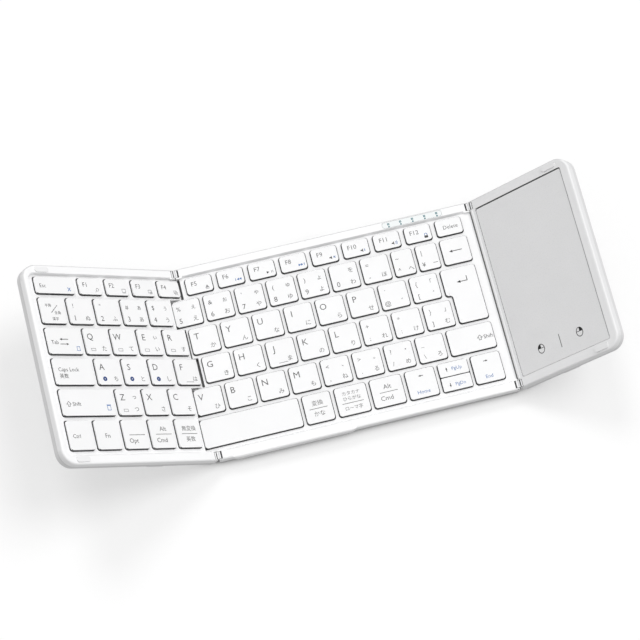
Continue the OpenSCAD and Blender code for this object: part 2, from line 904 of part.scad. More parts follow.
// Magnets that hold the folded wings down: each wing's one comes to lie over one of the centre's
magnet_r = 3;
magnet_h = 1.5;
magnet_y = -34;
left_magnet_out = 74.5;
right_magnet_out = 48.5;
module magnets(xs) {
    for (x = xs) translate([x, magnet_y, floor_z]) cylinder(h = magnet_h, r = magnet_r);
}
module center_magnets() color(steel) placed()
    magnets([left_magnet_out - inner_axis, inner_axis - right_magnet_out]);
module left_magnet() color(steel) left_wing_pose() magnets([-outer_axis - left_magnet_out]);
module right_magnet() color(steel) right_wing_pose() magnets([outer_axis + right_magnet_out]);

// Rubber feet. Those of the wings reach up round the lower edge of the shell.
foot_l = 12;
foot_w = 4;
center_foot_y = 38;
wing_foot_y = 44.5;
wing_foot_h = 1.4;
left_foot_x = -107;
right_foot_x = 100;
module feet(xs, y, h) {
    for (x = xs) both_ends()
        slab(0, h) round_rect(x - foot_l / 2, y, foot_l, foot_w, foot_w / 2 - eps);
}
module center_feet() color(rubber_white) placed() feet([-62, 62], center_foot_y, foot_h);
module left_feet() color(rubber_white) left_wing_pose()
    difference() {
        feet([left_foot_x], wing_foot_y, wing_foot_h);
        left_blank(split_step, foot_h, split_z, low_edge_r, 0);
    }
module right_feet() color(rubber_white) right_wing_pose()
    difference() {
        feet([right_foot_x], wing_foot_y, wing_foot_h);
        right_blank(split_step, foot_h, split_z, low_edge_r, 0);
    }

center_top_frame();
center_bottom_shell();
center_support_plate();
center_membrane();
center_dome_sheet();
center_scissor_frames();
main_board();
usb_c_port();
battery();
indicator_window();
center_feet();
center_screws();
center_magnets();
flex_cables();
left_top_frame();
left_bottom_shell();
left_support_plate();
left_membrane();
left_dome_sheet();
left_scissor_frames();
left_feet();
left_screws();
left_bumpers();
left_magnet();
right_top_frame();
right_bottom_shell();
touchpad_plate();
touchpad_board();
right_feet();
right_screws();
right_bumpers();
right_magnet();
left_hinge_links();
left_hinge_inner_pins();
left_hinge_outer_pins();
right_hinge_links();
right_hinge_inner_pins();
right_hinge_outer_pins();
esc_key();
left_function_keys();
left_number_keys();
tab_key();
left_upper_letter_keys();
caps_lock_key();
left_home_row_keys();
left_shift_key();
left_lower_letter_keys();
left_modifier_keys();
function_keys();
number_keys();
backspace_key();
upper_letter_keys();
enter_key();
home_row_keys();
lower_letter_keys();
right_shift_key();
space_key();
bottom_row_keys();
page_up_key();
page_down_key();
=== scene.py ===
# Folding keyboard: looks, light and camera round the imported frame.
import json
import math

import bpy
import bmesh
from mathutils import Matrix, Vector


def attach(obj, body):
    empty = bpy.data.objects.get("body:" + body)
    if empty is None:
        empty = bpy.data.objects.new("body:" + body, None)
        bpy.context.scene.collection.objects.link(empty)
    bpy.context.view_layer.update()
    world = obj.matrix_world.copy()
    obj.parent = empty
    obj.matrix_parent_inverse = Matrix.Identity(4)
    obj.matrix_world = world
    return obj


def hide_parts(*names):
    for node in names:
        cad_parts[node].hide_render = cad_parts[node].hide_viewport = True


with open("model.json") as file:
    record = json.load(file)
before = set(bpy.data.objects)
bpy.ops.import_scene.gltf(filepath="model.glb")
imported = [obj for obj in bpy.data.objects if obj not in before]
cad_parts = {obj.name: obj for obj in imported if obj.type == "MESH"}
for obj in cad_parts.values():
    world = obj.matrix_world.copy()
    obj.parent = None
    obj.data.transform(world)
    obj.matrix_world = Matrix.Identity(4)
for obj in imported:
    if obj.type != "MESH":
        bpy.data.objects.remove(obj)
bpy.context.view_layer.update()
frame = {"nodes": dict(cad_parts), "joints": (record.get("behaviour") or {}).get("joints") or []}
nodes = frame["nodes"]
MM = 0.001

# Sections, in millimetres, as in the part's source
BORDER_Z = 8.0
PAD_Z = 7.8
CAP_TOP = 7.9
SEAM_X = 74.15
AXIS_GAP = 2.2
AXIS_Z = 7.2
WING_ANGLE = 39.5
INNER_AXIS = SEAM_X - AXIS_GAP / 2
OUTER_AXIS = SEAM_X + AXIS_GAP / 2
HINGE_X = [j["pos_m"][0] for j in frame["joints"] if j["name"].endswith("inner_hinge")]
ORIGIN_X = sum(HINGE_X) / len(HINGE_X) / MM    # the centre section's middle in the shared frame


def turn(x, z, degrees):
    """Turn about an axis along Y through (x, z)."""
    there = Matrix.Translation((x, 0, z))
    return there @ Matrix.Rotation(math.radians(degrees), 4, "Y") @ there.inverted()


def section_pose(side):
    """Flat layout to rest pose, for the centre (0), left (-1) and right (1) sections."""
    if side == 0:
        return Matrix.Identity(4)
    half = -side * WING_ANGLE / 2
    return turn(side * INNER_AXIS, AXIS_Z, half) @ turn(side * OUTER_AXIS, AXIS_Z, half)


PLACE = Matrix.Scale(MM, 4) @ Matrix.Translation((ORIGIN_X, 0, 0))
POSE = {side: PLACE @ section_pose(side) for side in (-1, 0, 1)}


# ---------------------------------------------------------------- materials
# Scales of the noises are per metre, and places and reaches are in metres.
MOTTLE_SCALE = 60.0
GRAIN_SCALE = 2500.0
GRAIN_DEPTH = 0.00005
ROUGHNESS_SPREAD = 0.05
# Rays of the AO that masks the painted shade of narrow gaps
GAP_RAYS = 8
# Band of Y and turn of the normal in which the outer back edge gets painted shade
BACK_EDGE_Y = (0.0465, 0.0475)
BACK_EDGE_TURN = (0.15, 0.6)


def new_material(name):
    mat = bpy.data.materials.new(name)
    mat.use_nodes = True
    tree = mat.node_tree
    return mat, tree.nodes, tree.links, tree.nodes["Principled BSDF"]


def noise(tree_nodes, links, coords, scale, detail):
    tex = tree_nodes.new("ShaderNodeTexNoise")
    tex.inputs["Scale"].default_value = scale
    tex.inputs["Detail"].default_value = detail
    links.new(coords.outputs["Object"], tex.inputs["Vector"])
    return tex.outputs["Fac"]


def spread(tree_nodes, links, source, low, high, source_low=0.3, source_high=0.7):
    """Map a value, by default a noise of 0.3 to 0.7, to the range low to high."""
    ramp = tree_nodes.new("ShaderNodeMapRange")
    ramp.inputs["From Min"].default_value = source_low
    ramp.inputs["From Max"].default_value = source_high
    ramp.inputs["To Min"].default_value = low
    ramp.inputs["To Max"].default_value = high
    links.new(source, ramp.inputs["Value"])
    return ramp.outputs["Result"]


def openness(tree_nodes, links, reach, gap, low, rays):
    """Mask of painted shade, low in a narrow gap to 1 in the open; gap holds the AO of the two."""
    near = tree_nodes.new("ShaderNodeAmbientOcclusion")
    near.samples = rays
    near.inputs["Distance"].default_value = reach
    return spread(tree_nodes, links, near.outputs["AO"], low, 1.0, *gap)


def product(tree_nodes, links, a, b):
    """Product of a socket with a socket or a number."""
    node = tree_nodes.new("ShaderNodeMath")
    node.operation = "MULTIPLY"
    links.new(a, node.inputs[0])
    if isinstance(b, bpy.types.NodeSocket):
        links.new(b, node.inputs[1])
    else:
        node.inputs[1].default_value = b
    return node.outputs["Value"]


def blend_colours(tree_nodes, links, factor, a, b):
    """Mix of two colours, each given as RGB or as a socket."""
    mix = tree_nodes.new("ShaderNodeMix")
    mix.data_type = "RGBA"
    links.new(factor, mix.inputs["Factor"])
    for socket, colour in (("A", a), ("B", b)):
        if isinstance(colour, bpy.types.NodeSocket):
            links.new(colour, mix.inputs[socket])
        else:
            mix.inputs[socket].default_value = [min(1.0, c) for c in colour] + [1]
    return mix.outputs["Result"]


def separate(tree_nodes, links, vector):
    node = tree_nodes.new("ShaderNodeSeparateXYZ")
    links.new(vector, node.inputs[0])
    return node.outputs


def shade(colour, share):
    return [c * share for c in colour]


def moulded(name, colour, roughness, bump=0.04, mottle=0.012, metallic=0.0, coat=0.0,
            crevice=0.0, gap=(0.12, 0.42), gap_shade=0.12, dark_sides=None, back_edge=None):
    """Moulded plastic, rubber, ink or plated metal with a fine grain.

    crevice is the reach within which narrow gaps get painted shade, gap the openness of a fully
    dark and of a fully lit place, and gap_shade the share of the colour left in the dark.
    dark_sides gives the upward parts of the normal at which a surface is fully dark and fully
    lit, for painted shade on sides turned away from up. back_edge is the share of the colour
    left where the outer back edge turns down, as painted shade.
    """
    mat, n, links, shader = new_material(name)
    coords = n.new("ShaderNodeTexCoord")
    cloud = noise(n, links, coords, MOTTLE_SCALE, 3.0)
    grain = noise(n, links, coords, GRAIN_SCALE, 2.0)
    tint = blend_colours(n, links, spread(n, links, cloud, 0.0, 1.0),
                         shade(colour, 1 - mottle), shade(colour, 1 + mottle))
    # Painted shade: narrow gaps darken towards gap_shade of the colour
    if crevice > 0:
        lit = openness(n, links, crevice, gap, 0.0, GAP_RAYS)
        tint = blend_colours(n, links, lit, shade(colour, gap_shade), tint)
    # Painted shade: darker where the outer back edge turns down
    if back_edge:
        normal = separate(n, links, coords.outputs["Normal"])
        place = separate(n, links, coords.outputs["Object"])
        turned = spread(n, links, normal["Y"], 0.0, 1.0, *BACK_EDGE_TURN)
        outer = spread(n, links, place["Y"], 0.0, 1.0, *BACK_EDGE_Y)
        tint = blend_colours(n, links, product(n, links, turned, outer), tint,
                             shade(colour, back_edge))
    # Painted shade: darker on sides as the normal turns away from up
    if dark_sides:
        normal = separate(n, links, coords.outputs["Normal"])
        lit = spread(n, links, normal["Z"], 0.0, 1.0, *dark_sides)
        tint = blend_colours(n, links, lit, shade(colour, gap_shade), tint)
    links.new(tint, shader.inputs["Base Color"])
    links.new(spread(n, links, grain, roughness - ROUGHNESS_SPREAD, roughness + ROUGHNESS_SPREAD),
              shader.inputs["Roughness"])
    shader.inputs["Metallic"].default_value = metallic
    shader.inputs["Coat Weight"].default_value = coat
    if bump > 0:
        node = n.new("ShaderNodeBump")
        node.inputs["Strength"].default_value = bump
        node.inputs["Distance"].default_value = GRAIN_DEPTH
        links.new(grain, node.inputs["Height"])
        links.new(node.outputs["Normal"], shader.inputs["Normal"])
    return mat


# Painted shade: greyer white for the right wing's frame, which faces away from the key light
# Painted shade: the frames darken in narrow gaps and where the outer back edge turns down
right_frame_shaded_white = moulded("right_frame_shaded_white", (0.87, 0.87, 0.875), 0.42, crevice=0.001, back_edge=0.8)
frame_white = moulded("frame_white", (0.96, 0.96, 0.965), 0.42, crevice=0.001, back_edge=0.68)
# Painted shade: the shells darken in gaps and towards the floor, within 6 mm
shell_white = moulded("shell_white", (0.76, 0.76, 0.765), 0.45, crevice=0.006, gap=(0.3, 0.95),
                      gap_shade=0.3)
key_white = moulded("key_white", (0.93, 0.93, 0.935), 0.38, bump=0.03)
# Painted shade: dark grey skirts, and some shoulders, for the shaded gaps round the caps
skirt_shade = moulded("skirt_shade", (0.13, 0.13, 0.135), 0.5, bump=0.03)
pad_grey = moulded("pad_grey", (0.81, 0.81, 0.815), 0.3, bump=0.02)
# Painted shade in the narrow gaps of the feet and bumpers
rubber_white = moulded("rubber_white", (0.88, 0.88, 0.885), 0.55, crevice=0.0006)
# Painted shade: the hinges darken in their gaps and on the barrels' sides
hinge_white = moulded("hinge_white", (0.86, 0.86, 0.87), 0.3, crevice=0.003, gap=(0.3, 0.75),
                      gap_shade=0.06, dark_sides=(0.84, 0.95))
port_metal = moulded("port_metal", (0.7, 0.7, 0.72), 0.3, metallic=0.8)
screw_metal = moulded("screw_metal", (0.6, 0.6, 0.62), 0.3, metallic=1.0)
sheet_metal = moulded("sheet_metal", (0.35, 0.35, 0.37), 0.35, metallic=1.0)
dark_film = moulded("dark_film", (0.03, 0.03, 0.035), 0.4)
dark_frame = moulded("dark_frame", (0.05, 0.05, 0.055), 0.5)
board_green = moulded("board_green", (0.02, 0.12, 0.05), 0.4)
foil = moulded("foil", (0.5, 0.5, 0.52), 0.3, metallic=0.7)
ribbon_amber = moulded("ribbon_amber", (0.45, 0.22, 0.04), 0.4)
window_white = moulded("window_white", (0.92, 0.95, 0.95), 0.15, coat=0.3)

INK_COLOURS = {
    "grey": (0.06, 0.06, 0.06),
    "black": (0.01, 0.01, 0.01),
    "pale": (0.3, 0.3, 0.31),
    "blue": (0.02, 0.14, 0.42),
    "navy": (0.01, 0.05, 0.2),
    "teal": (0.06, 0.2, 0.23),
}
INKS = {ink: moulded("ink_" + ink, colour, 0.5, bump=0.0, mottle=0.05)
        for ink, colour in INK_COLOURS.items()}

NODE_MATERIALS = [
    (frame_white, ("center_top_frame", "left_top_frame")),
    (right_frame_shaded_white, ("right_top_frame",)),
    (shell_white, ("center_bottom_shell", "left_bottom_shell", "right_bottom_shell")),
    (pad_grey, ("touchpad_plate",)),
    (rubber_white, ("center_feet", "left_feet", "right_feet", "left_bumpers", "right_bumpers")),
    (hinge_white, ("left_hinge_links", "right_hinge_links", "left_hinge_inner_pins",
                   "left_hinge_outer_pins", "right_hinge_inner_pins", "right_hinge_outer_pins")),
    (port_metal, ("usb_c_port",)),
    (screw_metal, ("center_screws", "left_screws", "right_screws", "center_magnets",
                   "left_magnet", "right_magnet")),
    (sheet_metal, ("center_support_plate", "left_support_plate")),
    (dark_film, ("center_membrane", "left_membrane", "center_dome_sheet", "left_dome_sheet")),
    (dark_frame, ("center_scissor_frames", "left_scissor_frames")),
    (board_green, ("main_board", "touchpad_board")),
    (foil, ("battery",)),
    (ribbon_amber, ("flex_cables",)),
    (window_white, ("indicator_window",)),
]

for material, names in NODE_MATERIALS:
    for name in names:
        nodes[name].data.materials.clear()
        nodes[name].data.materials.append(material)


WELD_REACH = 0.000002
EDGE_WIDTH = 0.12
FLAT_ANGLE = math.radians(1)
SHARP_ANGLE = math.radians(35)


def soften(name):
    """Break the sharp edges of a CAD node."""
    obj = nodes[name]
    weld = obj.modifiers.new("weld", "WELD")
    weld.merge_threshold = WELD_REACH
    flat = obj.modifiers.new("flat_faces", "DECIMATE")
    flat.decimate_type = "DISSOLVE"
    flat.angle_limit = FLAT_ANGLE
    bevel = obj.modifiers.new("soft_edges", "BEVEL")
    bevel.width = EDGE_WIDTH * MM
    bevel.segments = 2
    bevel.limit_method = "ANGLE"
    bevel.angle_limit = SHARP_ANGLE
    bevel.harden_normals = True


for name in ("center_top_frame", "left_top_frame", "right_top_frame"):
    soften(name)


# ---------------------------------------------------------------- key caps
KEY_BANKS = {
    -1: ["esc_key", "left_function_keys", "left_number_keys", "tab_key", "left_upper_letter_keys",
         "caps_lock_key", "left_home_row_keys", "left_shift_key", "left_lower_letter_keys",
         "left_modifier_keys"],
    0: ["function_keys", "number_keys", "backspace_key", "upper_letter_keys", "enter_key",
        "home_row_keys", "lower_letter_keys", "right_shift_key", "space_key",
        "bottom_row_keys", "page_up_key", "page_down_key"],
}
CAP_RADIUS = 1.4
CAP_WALL = 0.8
CAP_DRAFT = 0.02
CAP_FILLET = 0.2
FILLET_STEPS = 4
SKIRT_STEPS = 2        # fillet steps that carry the skirt's painted shade
UPPER_SKIRT_H = 0.75
RIM = 0.18
DISH_INSET = 1.6
CAP_DISH = 0.03
INNER_RADIUS = 0.3     # least corner radius of an inner ring
CORNER_SLOPE = 0.4     # a rim that runs more steeply than this is on its cap's left side
ENTER_LOW_X = 54.45
ENTER_NOTCH_Y = 4.2
NORMAL_WEIGHT = 90

# Finishes of a cap's rings; the first two are its material slots, white and painted shade
WHITE, DARK, UPPER_SKIRT, SHOULDER = range(4)


def rounded_outline(points, radius, inset, steps=6):
    """Closed polygon, anticlockwise, with round corners, drawn in by inset."""
    ring = []
    count = len(points)
    for i in range(count):
        before, here, after = (Vector(points[(i + k) % count]) for k in (-1, 0, 1))
        way_in = (here - before).normalized()
        way_out = (after - here).normalized()
        convex = way_in.x * way_out.y - way_in.y * way_out.x > 0
        left_in = Vector((-way_in.y, way_in.x))
        left_out = Vector((-way_out.y, way_out.x))
        side = 1 if convex else -1
        middle = here + side * radius * (left_in + left_out)
        reach = radius - side * inset
        a0 = math.atan2(*reversed(-side * left_in))
        sweep = side * math.pi / 2
        for s in range(steps + 1):
            a = a0 + sweep * s / steps
            ring.append((middle.x + reach * math.cos(a), middle.y + reach * math.sin(a)))
    return ring


def cap_rings(z0, z1, wall):
    """Inset, height and finish of each ring of a cap, from its inner top to its outer top."""
    rings = [(wall, z1 - wall, DARK), (wall, z0, DARK), (0.0, z0, DARK),
             (0.0, z1 - UPPER_SKIRT_H, DARK), (CAP_DRAFT, z1 - CAP_FILLET, UPPER_SKIRT)]
    for s in range(1, FILLET_STEPS + 1):
        a = math.pi / 2 * s / FILLET_STEPS
        rings.append((CAP_DRAFT + CAP_FILLET * (1 - math.cos(a)),
                      z1 - CAP_FILLET * (1 - math.sin(a)),
                      UPPER_SKIRT if s <= SKIRT_STEPS else SHOULDER))
    rings.append((CAP_DRAFT + CAP_FILLET + RIM, z1, SHOULDER))
    rings.append((DISH_INSET, z1 - CAP_DISH, WHITE))
    return rings


def add_cap(bm, points, radius, z0, z1, wall, white_ends, dark_left):
    """Cap on a closed outline.

    Its skirt is dark as painted shade. With white_ends, the upper skirt's shade is at the front
    and back only. With dark_left, its left shoulder gets painted shade too.
    """
    rings = cap_rings(z0, z1, wall)
    loops = []
    for inset, z, _ in rings:
        ring = rounded_outline(points, max(radius, inset + INNER_RADIUS), inset)
        loops.append([bm.verts.new((x, y, z)) for x, y in ring])
    for low, high, (_, _, finish) in zip(loops, loops[1:], rings[1:]):
        count = len(low)
        for i in range(count):
            j = (i + 1) % count
            along = low[j].co - low[i].co
            slot = finish
            if finish == UPPER_SKIRT:
                slot = WHITE if white_ends and abs(along.y) > abs(along.x) else DARK
            elif finish == SHOULDER:
                slot = DARK if dark_left and -along.y > CORNER_SLOPE * abs(along.x) else WHITE
            bm.faces.new((low[i], low[j], high[j], high[i])).material_index = slot
    bm.faces.new(loops[-1])
    bm.faces.new(reversed(loops[0])).material_index = DARK


def islands(name, side):
    """Boxes (x0, x1, y0, y1, z0, z1) of a CAD node's separate solids, in the flat layout, by x."""
    bm = bmesh.new()
    bm.from_mesh(nodes[name].data)
    bmesh.ops.remove_doubles(bm, verts=bm.verts, dist=WELD_REACH)
    bm.transform(POSE[side].inverted())
    left = set(bm.verts)
    boxes = []
    while left:
        stack = [left.pop()]
        group = [stack[0]]
        while stack:
            for edge in stack.pop().link_edges:
                for v in edge.verts:
                    if v in left:
                        left.discard(v)
                        stack.append(v)
                        group.append(v)
        xs, ys, zs = ([v.co[k] for v in group] for k in range(3))
        boxes.append((min(xs), max(xs), min(ys), max(ys), min(zs), max(zs)))
    bm.free()
    return sorted(boxes)


def finish_mesh(name, bm, side, body, materials, smooth=True):
    """Piece made of a mesh drawn in the flat layout of a section, riding on its body."""
    bmesh.ops.recalc_face_normals(bm, faces=bm.faces)
    mesh = bpy.data.meshes.new(name)
    bm.transform(POSE[side])
    for face in bm.faces:
        face.smooth = smooth
    bm.to_mesh(mesh)
    bm.free()
    for material in materials:
        mesh.materials.append(material)
    obj = bpy.data.objects.new(name, mesh)
    bpy.context.scene.collection.objects.link(obj)
    if smooth:
        normals = obj.modifiers.new("normals", "WEIGHTED_NORMAL")
        normals.keep_sharp = True
        normals.weight = NORMAL_WEIGHT
    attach(obj, body)
    return obj


CAPS = {}
for side, banks in KEY_BANKS.items():
    for bank in banks:
        CAPS[bank] = islands(bank, side)
        bm = bmesh.new()
        for x0, x1, y0, y1, z0, z1 in CAPS[bank]:
            points = [(x0, y0), (x1, y0), (x1, y1), (x0, y1)]
            if bank == "enter_key":
                points = [(ENTER_LOW_X, y0), (x1, y0), (x1, y1), (x0, y1),
                          (x0, ENTER_NOTCH_Y), (ENTER_LOW_X, ENTER_NOTCH_Y)]
            share = 0.5 if bank.startswith("page") else 1.0
            # Centre caps over the left seam get painted shade on the left shoulder too
            # Painted shade of upper skirts: front and back only on the wing
            add_cap(bm, points, CAP_RADIUS * share, z0, z1, CAP_WALL * share,
                    white_ends=side < 0, dark_left=side == 0 and x0 < -SEAM_X)
        caps = finish_mesh(bank + "_caps", bm, side, bank + "_body", (key_white, skirt_shade))
        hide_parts(bank)


# ---------------------------------------------------------------- printed marks
# Every mark is a thin solid of ink, just proud of the surface that it is printed on; the
# touchpad's edge lines are painted shade.
INK_RISE = 0.006
INK_SINK = 0.05
HAIR, FINE, MEDIUM, BOLD = 0.22, 0.25, 0.3, 0.35    # widths of lines
HEAD_RATIO = 0.42                                   # half width of an arrowhead to its length
HEAD_OVERLAP = 0.1
PRINTS = {}
LABELS = []
PRINT_PLACE = {bank: (side, bank + "_body", CAP_TOP) for side in KEY_BANKS
               for bank in KEY_BANKS[side]}
PRINT_PLACE["touchpad_plate"] = (1, "right_wing", PAD_Z)
PRINT_PLACE["indicator_window"] = (0, "center", BORDER_Z)


def sheet(where, ink):
    """Mesh that holds the marks of one ink on one node."""
    if (where, ink) not in PRINTS:
        PRINTS[where, ink] = bmesh.new()
    return PRINTS[where, ink]


def levels(where):
    """Lowest and highest level of the ink."""
    z = PRINT_PLACE[where][2]
    return z - INK_SINK, z + INK_RISE


def patch(where, ink, points):
    """Filled outline."""
    bm = sheet(where, ink)
    low, high = ([bm.verts.new((x, y, z)) for x, y in points] for z in levels(where))
    bm.faces.new(high)
    bm.faces.new(reversed(low))
    for i in range(len(points)):
        j = (i + 1) % len(points)
        bm.faces.new((low[i], low[j], high[j], high[i]))


def line(where, ink, points, width, closed=False):
    """Line of constant width through the points, with mitred corners."""
    pts = [Vector(p) for p in points]
    count = len(pts)
    sides = []
    for i, here in enumerate(pts):
        steps = []
        if closed or i > 0:
            steps.append((here - pts[i - 1]).normalized())
        if closed or i < count - 1:
            steps.append((pts[(i + 1) % count] - here).normalized())
        normals = [Vector((-d.y, d.x)) for d in steps]
        mitre = sum(normals, Vector((0, 0)))
        mitre = mitre / mitre.dot(normals[0])
        sides.append((here + mitre * width / 2, here - mitre * width / 2))
    bm = sheet(where, ink)
    low_z, high_z = levels(where)
    posts = [[bm.verts.new((p.x, p.y, z)) for p in pair for z in (low_z, high_z)]
             for pair in sides]
    for i in range(count if closed else count - 1):
        a, b = posts[i], posts[(i + 1) % count]
        for p, q in ((0, 1), (1, 3), (3, 2), (2, 0)):
            bm.faces.new((a[p], a[q], b[q], b[p]))
    if not closed:
        for end in (posts[0], posts[-1]):
            bm.faces.new((end[0], end[1], end[3], end[2]))


def ellipse(x, y, rx, ry, start=0, end=360, steps=24):
    """Points of an arc, from start to end in degrees."""
    span = math.radians(end - start)
    count = steps if end - start == 360 else steps + 1
    return [(x + rx * math.cos(math.radians(start) + span * k / steps),
             y + ry * math.sin(math.radians(start) + span * k / steps)) for k in range(count)]


def arrow(where, ink, tail, tip, width=MEDIUM, head=1.3):
    """Straight arrow with a solid head."""
    tail, tip = Vector(tail), Vector(tip)
    along = (tip - tail).normalized()
    across = Vector((-along.y, along.x)) * head * HEAD_RATIO
    base = tip - along * head
    line(where, ink, [tail, base + along * HEAD_OVERLAP], width)
    patch(where, ink, [tip, base + across, base - across])


def label(where, ink, text, x, y, height, sample="H"):
    """Text centred on x, in the size and at the level that put a sample letter's middle on y."""
    LABELS.append((where, ink, text, x, y, height, sample))


# Letters, digits and signs: top left, bottom left, bottom right and top right of a cap
LEGENDS = {
    "left_number_keys": ["", "!1ぬ", "\"2ふ", "#3あぁ", "$4うぅ"],
    "number_keys": ["%5えぇ", "&6おぉ", "'7やゃ", "(8ゆゅ", ")9よょ", " 0わを", "=-ほ", "~^へ",
                    "|¥ー"],
    "left_upper_letter_keys": ["Q た", "W て", "E いぃ", "R す"],
    "upper_letter_keys": ["T か", "Y ん", "U な", "I に", "O ら", "P せ", "`@゛", "{[゜「"],
    "left_home_row_keys": ["A ち", "S と", "D し", "F は"],
    "home_row_keys": ["G き", "H く", "J ま", "K の", "L り", "+;れ", "*:け", "}]む」"],
    "left_lower_letter_keys": ["Z つっ", "X さ", "C そ"],
    "lower_letter_keys": ["V ひ", "B こ", "N み", "M も", "<,ね、", ">.る。", "?/め・", "_\\ろ"],
}
ROW_Y = {"number": 26.15, "upper": 11.05, "home": -4.05, "lower": -19.15}
LEFT_COLUMN = 2.95
RIGHT_COLUMN = 10.25
TOP_LINE = 2.6
LOW_LINE = -3.5
LETTER_H = 3.0
DIGIT_H = 2.5
SIGN_H = 2.1
KANA_H = 2.45
WORD_H = 1.85
NARROW_CAP = 12
NARROW_SHARE = 0.8
LETTER_SHIFT = (0.4, -0.2)

for bank, texts in LEGENDS.items():
    row = next(y for word, y in ROW_Y.items() if word in bank)
    for (x0, x1, *_), text in zip(CAPS[bank], texts):
        share = NARROW_SHARE if x1 - x0 < NARROW_CAP else 1.0
        for k, char in enumerate(text):
            if char == " ":
                continue
            right = k in (2, 3)
            x = x0 + share * (RIGHT_COLUMN if right else LEFT_COLUMN)
            y = row + (TOP_LINE if k in (0, 3) else LOW_LINE)
            if right:
                label(bank, "grey", char, x, y, KANA_H, "あ")
            elif char.isalpha():
                label(bank, "grey", char, x + LETTER_SHIFT[0], y + LETTER_SHIFT[1], LETTER_H)
            else:
                label(bank, "grey", char, x, y, DIGIT_H if char.isdigit() else SIGN_H)

# Function keys: the first four are on the left wing, and the last three have two digits
WING_F, CENTER_F = "left_function_keys", "function_keys"
F_X, F_Y, F_H = 4.1, 39.7, 2.15
for k, (x0, *_) in enumerate((CAPS[WING_F] + CAPS[CENTER_F])[:12]):
    shift = -0.7 if k < 4 else 0.6 if k >= 9 else 0.0
    label(WING_F if k < 4 else CENTER_F, "grey", "F%d" % (k + 1), x0 + F_X + shift, F_Y, F_H)


def from_seam(u):
    """X of a point of the left wing at a distance from the seam."""
    return -SEAM_X - u


# Words, on the caps that carry them
label("esc_key", "grey", "Esc", from_seam(79.6), 38.6, WORD_H)
label("left_number_keys", "grey", "半角", from_seam(79.2), 28.7, 1.7, "角")
label("left_number_keys", "grey", "全角", from_seam(74.6), 25.1, 1.7, "角")
label("left_number_keys", "grey", "漢字", from_seam(76.4), 22.0, 1.7, "角")
line("left_number_keys", "grey", [(from_seam(78.0), 25.0), (from_seam(74.0), 28.8)], FINE)
label("tab_key", "grey", "Tab", from_seam(79.7), 10.4, WORD_H)
arrow("tab_key", "black", (from_seam(72.0), 11.9), (from_seam(76.8), 11.9))
arrow("tab_key", "black", (from_seam(76.8), 9.5), (from_seam(72.0), 9.5))
label("caps_lock_key", "grey", "Caps Lock", from_seam(75.5), -3.0, WORD_H)
label("caps_lock_key", "black", "英数", from_seam(78.7), -6.2, 2.3, "英")
label("left_shift_key", "grey", "Shift", from_seam(75.2), -19.9, WORD_H)
label("right_shift_key", "grey", "Shift", 66.0, -19.6, WORD_H)
label("left_modifier_keys", "grey", "Ctrl", from_seam(79.2), -35.4, WORD_H)
label("left_modifier_keys", "grey", "Fn", from_seam(61.8), -35.4, 2.1)


def up_arrow_outline(bank, x, y):
    """Hollow upward arrow of a shift key."""
    line(bank, "grey", [(x - 0.5, y - 1.1), (x + 0.5, y - 1.1), (x + 0.5, y), (x + 1.2, y),
                        (x, y + 1.3), (x - 1.2, y), (x - 0.5, y)], HAIR, closed=True)


up_arrow_outline("left_shift_key", from_seam(79.6), -19.9)
up_arrow_outline("right_shift_key", 61.8, -19.6)

# Keys with words above and below a line: the line's middle, half length and y, then the words
kana_x = CAPS["bottom_row_keys"][0][0] + 6.8
wide_x = CAPS["bottom_row_keys"][1][0] + 7.7
RULED_KEYS = [
    ("left_modifier_keys", from_seam(45.0), 4.5, -35.3, [("Opt", from_seam(47.4), -38.1)]),
    ("left_modifier_keys", from_seam(29.4), 4.6, -35.2,
     [("Alt", from_seam(29.3), -32.5), ("Cmd", from_seam(31.0), -38.1)]),
    ("left_modifier_keys", from_seam(14.0), 4.6, -35.2,
     [("無変換", from_seam(13.9), -32.5), ("英数", from_seam(13.9), -37.8)]),
    ("bottom_row_keys", kana_x, 4.4, -35.2, [("変換", kana_x, -32.5), ("かな", kana_x, -37.8)]),
    ("bottom_row_keys", 12.5, 4.4, -35.2, [("Alt", 12.3, -32.5), ("Cmd", 11.0, -38.1)]),
]
for bank, x, reach, y, words in RULED_KEYS:
    line(bank, "grey", [(x - reach, y), (x + reach, y)], FINE)
    for word, word_x, word_y in words:
        height, sample = (2.15, "H") if word.isascii() else (2.55, "英")
        label(bank, "grey", word, word_x, word_y, height, sample)
for word, y in (("カタカナ", -31.3), ("ひらがな", -34.0), ("ローマ字", -38.8)):
    label("bottom_row_keys", "grey", word, wide_x, y, 1.8, "カ")
line("bottom_row_keys", "grey", [(wide_x - 5.2, -36.3), (wide_x + 5.2, -36.3)], FINE)

arrow("backspace_key", "black", (65.0, 26.2), (58.6, 26.2), BOLD, head=1.6)
line("enter_key", "black", [(63.4, 12.6), (63.4, 10.2), (60.0, 10.2)], BOLD)
patch("enter_key", "black", [(58.2, 10.2), (60.0, 9.5), (60.0, 10.9)])
label(CENTER_F, "grey", "Delete", 62.5, 38.8, WORD_H)

# Cursor keys, with the second words below or beside their arrows
CURSOR_HEAD = 1.1
for bank, tail, tip in (("bottom_row_keys", (30.4, -31.3), (28.0, -31.3)),
                        ("bottom_row_keys", (60.2, -31.4), (62.4, -31.4)),
                        ("page_up_key", (42.0, -32.3), (42.0, -30.2)),
                        ("page_down_key", (42.0, -38.2), (42.0, -40.3))):
    arrow(bank, "black", tail, tip, head=CURSOR_HEAD)
label("bottom_row_keys", "blue", "Home", 28.9, -39.2, 1.7)
label("bottom_row_keys", "blue", "End", 61.3, -39.2, 1.7)
label("page_up_key", "blue", "PgUp", 47.0, -31.3, 1.6)
label("page_down_key", "blue", "PgDn", 47.0, -39.2, 1.6)


